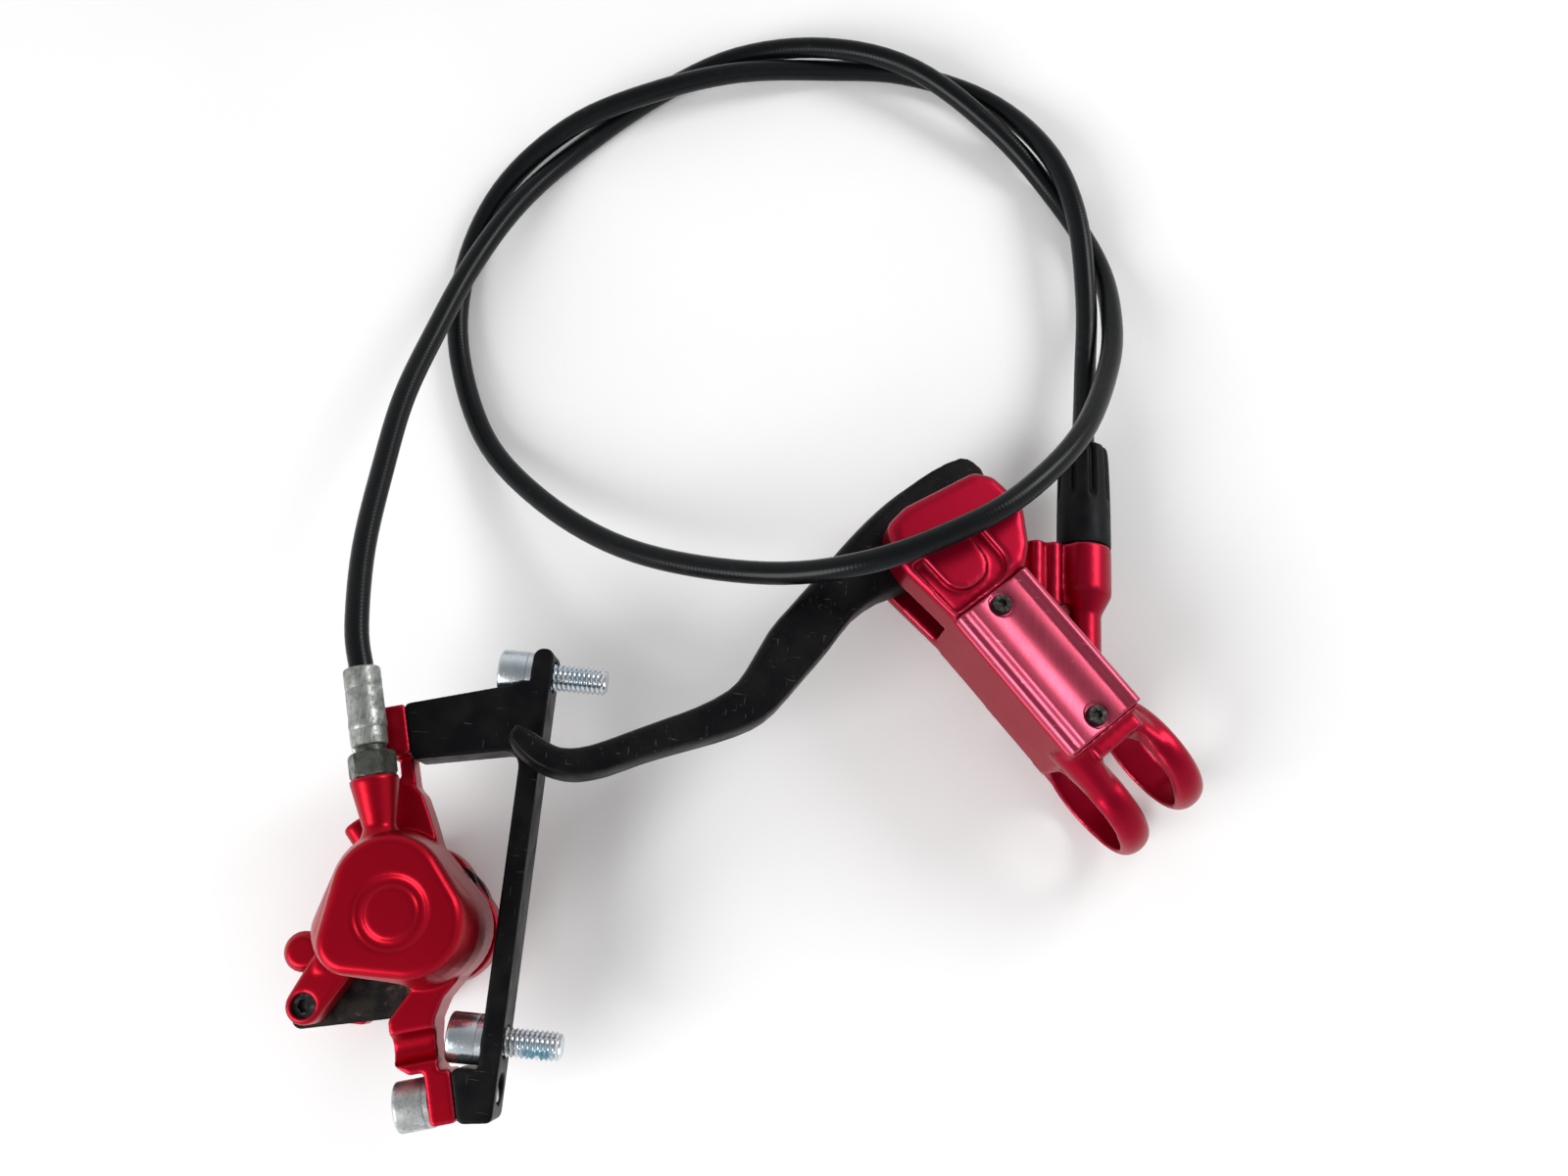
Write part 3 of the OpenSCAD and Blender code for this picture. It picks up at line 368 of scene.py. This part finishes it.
def eased(node, name, cell, rounds):
    """A copy of a machined part whose edges are eased as tumbling and blasting ease them: a skin of
    cells of the given mm, whose points then move half way to the mean of their neighbours, several
    times. The distance that an edge gives way is kept as worn: above 0 on outer edges, below 0 in
    corners, in tenths of a mm."""
    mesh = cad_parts[node].data.copy()
    mesh.transform(Matrix.Scale(1000.0, 4))
    raw = bpy.data.objects.new(name + "_raw", mesh)
    bpy.context.scene.collection.objects.link(raw)
    weld = raw.modifiers.new("weld", "WELD")
    weld.merge_threshold = 0.0005
    cells = raw.modifiers.new("cells", "REMESH")
    cells.mode, cells.voxel_size, cells.adaptivity = "VOXEL", cell, 0.0
    ready = bpy.data.meshes.new_from_object(raw.evaluated_get(bpy.context.evaluated_depsgraph_get()))
    bpy.data.objects.remove(raw)
    count = len(ready.vertices)
    start = np.empty(count * 3)
    ready.vertices.foreach_get("co", start)
    start = start.reshape(-1, 3)
    pair = np.empty(len(ready.edges) * 2, np.int32)
    ready.edges.foreach_get("vertices", pair)
    first, second = pair.reshape(-1, 2).T
    share = np.bincount(pair, minlength=count)[:, None]

    def mean_of_neighbours(values):
        total = [
            np.bincount(first, values[second, k], count) + np.bincount(second, values[first, k], count)
            for k in range(values.shape[1])
        ]
        return np.stack(total, 1) / share

    moved = start
    for _ in range(rounds):
        moved = (moved + mean_of_neighbours(moved)) / 2
    ready.vertices.foreach_set("co", moved.ravel())
    ready.update()
    facing = np.empty(count * 3)
    ready.vertex_normals.foreach_get("vector", facing)
    given = ((start - moved) * facing.reshape(-1, 3)).sum(1, keepdims=True)
    for _ in range(3):
        given = (given + mean_of_neighbours(given)) / 2
    ready.attributes.new("worn", "FLOAT", "POINT").data.foreach_set("value", given.ravel() * 10)
    ready.transform(Matrix.Scale(0.001, 4))
    ready.polygons.foreach_set("use_smooth", np.ones(len(ready.polygons), bool))
    ready.name = name
    piece = bpy.data.objects.new(name, ready)
    bpy.context.scene.collection.objects.link(piece)
    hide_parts(node)
    return piece


def red_anodised(name, deep, pale, chips):
    """Satin red: a fine blasted grain, slow changes of depth in the dye, edges a little paler, and
    rare bare nicks on the outermost edges."""
    material, shader, place = finish(
        name, Metallic=0.82, Roughness=0.3, Specular_IOR_Level=0.15, Coat_Weight=0.08, Coat_Roughness=0.2
    )
    worn = attribute(place, "worn")
    cloud = place.grain(14.0, 3.0).between(0.3, 0.7)
    fine = place.grain(0.35, 2.0)
    colour = (cloud * 0.5).colours(deep, tuple(0.86 * c for c in deep))
    colour = worn.between(0.3, 2.2).colours(colour, pale)
    grime = (0 - worn).between(0.3, 1.6) * place.grain(1.5, 4.0).between(0.4, 0.6)
    colour = (grime * 0.65).colours(colour, (0.045, 0.012, 0.010))
    nick = worn.between(1.0, 2.0) * place.grain(2.2, 5.0).between(chips, chips + 0.03)
    colour = nick.colours(colour, (0.78, 0.72, 0.70))
    coat(
        shader, colour=colour, roughness=0.30 + cloud * 0.07 + grime * 0.3 + fine * 0.06,
        height=fine + nick * -2.0, depth=0.012,
    )
    return material


body_red = red_anodised("red anodised caliper", (0.36, 0.001, 0.012), (0.55, 0.03, 0.075), 0.66)
caliper = dress(eased("caliper_body", "caliper_casting", 0.33, 5), body_red)
dress(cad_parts["bore_cap"], body_red)
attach(caliper, "brake")

# Pistons, seals and small screws
# Two ceramic-coated steel pistons in square rubber rings, a rubber ring under the far cap, the black
# pad pin with its hexagon socket, and the bleed screw of the far half. Oil keeps the rubber shiny.
ground_steel, shader, place = finish("ground steel", Metallic=0.9, Roughness=0.25)
line = place.stretched(1, 1, 0.05).grain(0.3, 2.0)
coat(
    shader,
    colour=place.grain(4.0, 4.0).between(0.35, 0.65).colours((0.60, 0.61, 0.61), (0.45, 0.44, 0.42)),
    roughness=0.2 + line * 0.15,
    height=line,
    depth=0.004,
)
oiled_rubber, shader, place = finish("oiled rubber", Roughness=0.45)
film = place.grain(3.0, 4.0).between(0.35, 0.65)
coat(
    shader, colour=film.colours((0.012, 0.012, 0.013), (0.028, 0.027, 0.026)), roughness=0.5 - film * 0.2,
    height=place.grain(0.5, 2.0), depth=0.01,
)
black_steel, shader, place = finish("blackened steel", Metallic=0.7, Roughness=0.4)
rub = place.grain(0.8, 4.0).between(0.5, 0.72)
coat(
    shader, colour=rub.colours((0.016, 0.015, 0.0145), (0.10, 0.095, 0.09)), roughness=0.42 - rub * 0.12,
    height=place.grain(0.3, 2.0), depth=0.01,
)
for node, material in (
    ("piston_outer", ground_steel), ("piston_inner", ground_steel), ("piston_seal_outer", oiled_rubber),
    ("piston_seal_inner", oiled_rubber), ("cap_seal", oiled_rubber), ("bleed_screw", black_steel),
    ("pad_pin", black_steel),
):
    dress(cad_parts[node], material)

# Brake pads
# Each pad is a stamped steel plate, painted black, with a bonded friction lining. Road dirt covers
# both, and the paint has rusted and rubbed off in a brownish patch near the lower edge.
painted_plate, shader, place = finish(
    "painted pad plate", Metallic=0.1, Roughness=0.5, Specular_IOR_Level=0.2
)
dirt = place.grain(3.2, 5.0).between(0.42, 0.62)
rust = place.grain(3.4, 4.0, 0).between(0.62, 0.74)
colour = dirt.colours((0.004, 0.004, 0.004), (0.020, 0.018, 0.015))
coat(
    shader, colour=(rust * 0.7).colours(colour, (0.17, 0.10, 0.055)), roughness=0.4 + dirt * 0.3,
    height=dirt * 0.6 + place.grain(0.4, 3.0) * 0.4, depth=0.06,
)
friction, shader, place = finish("friction lining", Roughness=0.85)
grit = place.node("TexVoronoi", None, {"Vector": place, "Scale": 1700.0}, 0)
flake = grit.between(0.1, 0.35)
coat(
    shader, colour=flake.colours((0.20, 0.14, 0.09), (0.065, 0.055, 0.048)), roughness=0.9 - flake * 0.1,
    height=flake * 0.5 + place.grain(0.5, 4.0), depth=0.12,
)
for side in ("outer", "inner"):
    dress(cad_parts["pad_plate_" + side], painted_plate)
    dress(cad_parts["pad_lining_" + side], friction)

# Mounting bolts and washers
# Four zinc-plated M6 socket-head screws, rolled thread of 1 mm pitch, with a bluish chromate tint.
# Two hold the caliper to the adapter, two wait for the fork. The lower one carries blue thread lock.
head_rows = [(-2.35, 0.3, 0), (-2.7, 2.2, 0), (-2.75, 2.88, 2.5), (-5.7, 2.88, 2.5), (-5.9, 3.0, 2.7),
             (-6.0, 3.15, 0), (-6.0, 4.35, 0), (-5.93, 4.6, 0), (-5.75, 4.85, 0), (-5.5, 4.98, 0),
             (-5.2, 5.0, 0), (-0.35, 5.0, 0), (-0.12, 4.95, 0), (0, 4.75, 0), (0, 3.2, 0), (0.2, 2.97, 0)]


def socket_screws(name, under_heads, axis, side, reach, thread_from):
    """Rings of several screws in one mesh; under_heads are the points under their heads."""
    steps = np.arange(0.4, reach - 0.55, 0.125)
    rows = head_rows + [(s, 2.95, 0) for s in steps]
    rows += [(reach - 0.5, 2.75, 0), (reach - 0.15, 2.4, 0), (reach, 2.1, 0), (reach, 0.4, 0)]
    thread = (thread_from, reach - 0.2, 1.0, 0.5)
    made = [
        skin(name + str(k), turned(rows, start, axis, side, 40, thread), crease=32.0)
        for k, start in enumerate(under_heads)
    ]
    bpy.ops.object.select_all(action="DESELECT")
    for one in made:
        one.select_set(True)
    bpy.context.view_layer.objects.active = made[0]
    bpy.ops.object.join()
    made[0].name = made[0].data.name = name
    return made[0]


fork_screws = socket_screws(
    "fork_screws", [np.array([-5.4, s * 37.0, 0]) for s in (-1, 1)],
    np.array([1.0, 0, 0]), np.array([0, 0.259, 0.966]), 16.6, 3.0,
)
ear_screws = socket_screws(
    "ear_screws", [on_caliper(-6.2, s * 37.0, 0) for s in (-1, 1)],
    caliper_axes[0], caliper_axes[2], 13.7, 4.0,
)
zinc, shader, place = finish("zinc plate", Metallic=0.95, Roughness=0.26)
tint = place.grain(3.5, 3.0).between(0.35, 0.65)
spot = place.grain(0.5, 4.0).between(0.55, 0.72)
colour = tint.colours((0.66, 0.70, 0.73), (0.52, 0.60, 0.66))
colour = (spot * 0.4).colours(colour, (0.30, 0.31, 0.32))
x, down = place.part("x"), 0 - place.part("y")
near_lower = down.between(33.0, 33.5)
lock = near_lower * down.between(36.6, 38.0) * x.between(2.6, 4.4) * (1 - x.between(8.6, 10.4))
lock = lock * place.grain(1.2, 3.0).between(0.38, 0.5)
ring = near_lower * x.between(-0.5, 0.3) * (1 - x.between(1.6, 2.6))
ring = ring * place.grain(0.9, 3.0).between(0.4, 0.55)
colour = (lock * 0.9).colours(colour, (0.045, 0.21, 0.30))
colour = (ring * 0.7).colours(colour, (0.23, 0.19, 0.14))
coat(
    shader,
    colour=colour,
    roughness=0.2 + spot * 0.2 + lock * 0.25,
    metallic=0.95 - lock * 0.6 - ring * 0.4,
    height=spot * 0.4 + place.grain(0.3, 2.0) * 0.3,
    depth=0.012,
)
aged_zinc, shader, place = finish("aged zinc plate", Metallic=0.85, Roughness=0.4)
patch = place.grain(2.0, 5.0).between(0.4, 0.6)
spot = place.grain(0.6, 4.0).between(0.52, 0.68)
colour = patch.colours((0.50, 0.53, 0.54), (0.36, 0.37, 0.36))
coat(
    shader, colour=(spot * 0.5).colours(colour, (0.16, 0.15, 0.13)), roughness=0.3 + patch * 0.18,
    height=patch * 0.4 + spot * 0.6, depth=0.02,
)
for piece, node, washers, material in (
    (fork_screws, "fork_bolts", "fork_washers", zinc),
    (ear_screws, "caliper_bolts", "caliper_washers", aged_zinc),
):
    dress(piece, material)
    dress(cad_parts[washers], material)
    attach(piece, "brake")
    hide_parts(node)

# Fork adapter
# A long bracket milled from aluminium plate and hard anodised black: spine, upper arm and lower
# boss. Its edges are rubbed to grey.


def black_anodised(name, wear, scratch):
    """Satin black with paler rubbed edges, thin scratches both ways and some dust."""
    material, shader, place = finish(name, Metallic=0.05, Roughness=0.36, Specular_IOR_Level=0.1)
    worn = attribute(place, "worn")
    blotch = place.grain(6.0, 5.0).between(0.4, 0.65)
    broken = place.grain(1.3, 4.0).between(0.35, 0.6)
    one = place.stretched(1, 0.06, 1, (0, 0, 0.5)).grain(0.4, 2.0).between(scratch, scratch + 0.04)
    two = place.stretched(0.07, 1, 1, (0, 0, 0.9)).grain(0.45, 2.0).between(scratch, scratch + 0.04)
    fine = place.grain(0.3, 2.0)
    colour = blotch.colours((0.0028, 0.003, 0.004), (0.0062, 0.006, 0.006))
    colour = (worn.between(0.8, 2.6) * broken * wear).colours(colour, (0.16, 0.16, 0.158))
    colour = ((one + two).between(0, 1) * 0.25).colours(colour, (0.17, 0.165, 0.15))
    coat(
        shader, colour=colour, roughness=0.33 + blotch * 0.14 + fine * 0.06,
        height=fine * 0.6 + blotch * 0.4 - (one + two) * 0.8, depth=0.012,
    )
    return material


bracket_black = black_anodised("black anodised adapter", 0.55, 0.71)
bracket = dress(eased("adapter", "adapter_plate", 0.3, 5), bracket_black)
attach(bracket, "brake")

# Lever body
# One red anodised casting: two round bar-clamp hoops, the reservoir with its flat seat, the master
# cylinder below it, the head that holds the blade, and the round hose port with two web plates.
lever_red = red_anodised("red anodised lever body", (0.33, 0.0015, 0.020), (0.52, 0.045, 0.09), 0.70)
lever_body = dress(eased("master_body", "lever_casting", 0.42, 6), lever_red)
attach(lever_body, "brake")

# Reservoir lid
# A drawn aluminium lid, anodised a paler red, with a low ridge along each side and two flat swells on
# its crown. It lies on a rubber diaphragm and is held by two small black screws in round recesses.
lid = eased("reservoir_lid", "lid_plate", 0.22, 7)
lid_middle, crown_level, crown_reach = -2.9, 17.0, 7.6
swell_pitch, hollow = 9.0, 0.35
spots = np.empty(len(lid.data.vertices) * 3)
lid.data.vertices.foreach_get("co", spots)
local = (spots.reshape(-1, 3) * 1000 - lever_origin) @ lever_axes.T
# two low lengthwise swells with a shallow hollow between them along the middle
across = np.abs(local[:, 0] - lid_middle)
crown = np.clip((local[:, 2] - crown_level) / 0.3, 0, 1) * np.clip((crown_reach - across) / 1.5, 0, 1)
local[:, 2] -= hollow * crown * (1 + np.cos(2 * np.pi * across / swell_pitch)) / 2
lid.data.vertices.foreach_set("co", ((local @ lever_axes + lever_origin) * 0.001).ravel())
lid_red, shader, place = finish(
    "pale red lid", Metallic=0.85, Roughness=0.28, Coat_Weight=0.1, Coat_Roughness=0.15
)
drawn = place.stretched(1, 0.05, 1, (0, 0, -0.761)).grain(0.5, 3.0)
cloud = place.grain(9.0, 3.0).between(0.3, 0.7)
scratch = place.stretched(0.08, 1, 1, (0, 0, -0.5)).grain(0.5, 2.0).between(0.7, 0.74)
colour = cloud.colours((0.45, 0.058, 0.105), (0.38, 0.043, 0.085))
colour = (scratch * 0.3).colours(colour, (0.74, 0.38, 0.42))
colour = attribute(place, "worn").between(0.5, 2.0).colours(colour, (0.62, 0.12, 0.18))
coat(shader, colour=colour, roughness=0.24 + drawn * 0.14, height=drawn * 0.7 - scratch, depth=0.008)
dress(lid, lid_red)
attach(lid, "brake")
dress(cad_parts["lid_screws"], black_steel)
dress(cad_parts["diaphragm"], oiled_rubber)
dress(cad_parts["clamp_screw"], black_steel)

# Hose boot and nut
# A soft rubber boot slides over the hose nut at the port. It narrows towards the hose and has eight
# flutes at that end, so that fingers can turn the nut through it.
boot_rows = np.array(
    [(28.1, 4.9), (28.05, 5.6), (28.2, 5.93), (28.6, 6.0), (29.6, 6.0), (36, 5.96), (38.6, 5.94),
     (39.2, 5.93), (39.8, 5.92), (40.6, 5.9), (41.6, 5.88), (43, 5.85), (44.5, 5.81), (46, 5.76),
     (47.5, 5.7), (49, 5.64), (50.3, 5.57), (51.3, 5.48), (52.1, 5.32), (52.7, 4.98), (53, 4.5),
     (53, 3.6), (52.8, 2.9), (52.5, 2.6), (46, 2.56), (35, 2.56), (34.2, 3.5), (34.1, 4.88),
     (31, 4.88)]
)
t = np.linspace(0, 2 * np.pi, 128, endpoint=False)
flutes, flute_depth, flute_start = 8, 1.15, 38.8
run_in = np.clip((boot_rows[:, 0] - flute_start) / 2.4, 0, 1) * np.clip((boot_rows[:, 1] - 4.3) / 0.7, 0, 1)
# the radius gives way by the flute depth times a sharpened cosine wave and the run-in of the flutes
wave = np.clip(np.cos(flutes * t + 0.4) * 1.7 - 0.55, 0, 1)
radii = boot_rows[:, 1:] - flute_depth * run_in[:, None] * wave[None]
boot_rings = on_port(0) + boot_rows[:, :1, None] * port_axes[1] + radii[..., None] * (
    np.cos(t)[None, :, None] * port_axes[0] + np.sin(t)[None, :, None] * port_axes[2]
)
boot = skin("rubber_boot", boot_rings * 0.001, joined=True, crease=50.0)
matt_rubber, shader, place = finish("matt boot rubber", Roughness=0.5, Specular_IOR_Level=0.1)
bloom = place.grain(5.0, 4.0).between(0.4, 0.7)
coat(
    shader,
    colour=bloom.colours((0.0035, 0.004, 0.0052), (0.0085, 0.0085, 0.009)),
    roughness=0.42 + bloom * 0.18,
    height=place.grain(0.5, 3.0),
    depth=0.02,
)
dress(boot, matt_rubber)
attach(boot, "brake")
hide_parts("hose_boot")
brass, shader, place = finish("turned brass", Metallic=0.95, Roughness=0.3)
coat(
    shader, colour=place.grain(2.0, 4.0).between(0.4, 0.6).colours((0.72, 0.52, 0.20), (0.50, 0.34, 0.13)),
    roughness=0.25 + place.grain(0.4, 2.0) * 0.2, height=place.grain(0.4, 2.0), depth=0.005,
)
for node, material in (("lever_hose_nut", black_steel), ("olive", brass), ("hose_insert", brass)):
    dress(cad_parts[node], material)

# Master cylinder parts
# Inside the casting: an aluminium piston with two rubber cups, its return spring, the wire ring that
# keeps it in, and the push rod with a ball that the blade presses.
for node, material in (
    ("master_piston", ground_steel), ("primary_seal", oiled_rubber), ("secondary_seal", oiled_rubber),
    ("return_spring", ground_steel), ("retaining_ring", ground_steel), ("pushrod", ground_steel),
):
    dress(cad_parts[node], material)

# Lever blade and pivot
# The blade is forged aluminium with a hooked tip, anodised black; use has rubbed its outer edge grey
# and scratched its face. It turns on a steel pin in two brass bushes inside the head.
blade_black = black_anodised("black anodised blade", 0.9, 0.69)
blade = dress(eased("lever_blade", "blade_forging", 0.3, 6), blade_black)
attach(blade, "lever")
dress(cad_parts["pivot_pin"], ground_steel)
dress(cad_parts["pivot_bushes"], brass)

# Table and light
# A plain white table, a large soft lamp at the lower left, a weaker one at the upper right, and a room
# that is pale at the sides and darker above.
sheet = bpy.data.meshes.new("table")
half, table_top = 1.5, -0.0255
sheet.from_pydata(
    [(x * half, y * half, table_top) for x, y in ((-1, -1), (1, -1), (1, 1), (-1, 1))],
    [], [(0, 1, 2, 3)],
)
table = bpy.data.objects.new("table", sheet)
bpy.context.scene.collection.objects.link(table)
paint, shader, place = finish("white table", Roughness=0.55, Specular_IOR_Level=0.3)
cloud = place.grain(60.0, 3.0).between(0.3, 0.7)
coat(shader, colour=cloud.colours((0.955, 0.955, 0.955), (0.93, 0.93, 0.932)))
dress(table, paint)
for name, spot, aim, size, power in (
    ("main_lamp", (-0.42, -0.40, 0.42), (0.03, 0.06, 0), 0.5, 4.6),
    ("side_lamp", (0.50, 0.42, 0.40), (0.09, 0.05, 0), 0.3, 1.9),
):
    lamp = bpy.data.lights.new(name, "AREA")
    lamp.shape, lamp.size, lamp.energy = "DISK", size, power
    holder = bpy.data.objects.new(name, lamp)
    back = np.array(spot) - np.array(aim)
    back /= np.linalg.norm(back)
    side = np.cross([0, 0, 1], back)
    side /= np.linalg.norm(side)
    over = np.cross(back, side)
    holder.matrix_world = Matrix([[side[i], over[i], back[i], spot[i]] for i in range(3)] + [[0, 0, 0, 1]])
    bpy.context.scene.collection.objects.link(holder)
sky = bpy.data.worlds.new("sky")
sky.use_nodes = True
direction = Shade(sky.node_tree.nodes.new("ShaderNodeTexCoord").outputs["Object"])
height = direction.part("z") * 0.001
pale = height.between(0.35, 0.95).colours((0.85, 0.85, 0.85), (0.30, 0.30, 0.30))
sky.node_tree.links.new(pale.socket, sky.node_tree.nodes["Background"].inputs["Color"])
bpy.context.scene.world = sky
bpy.context.scene.view_settings.view_transform = "Standard"
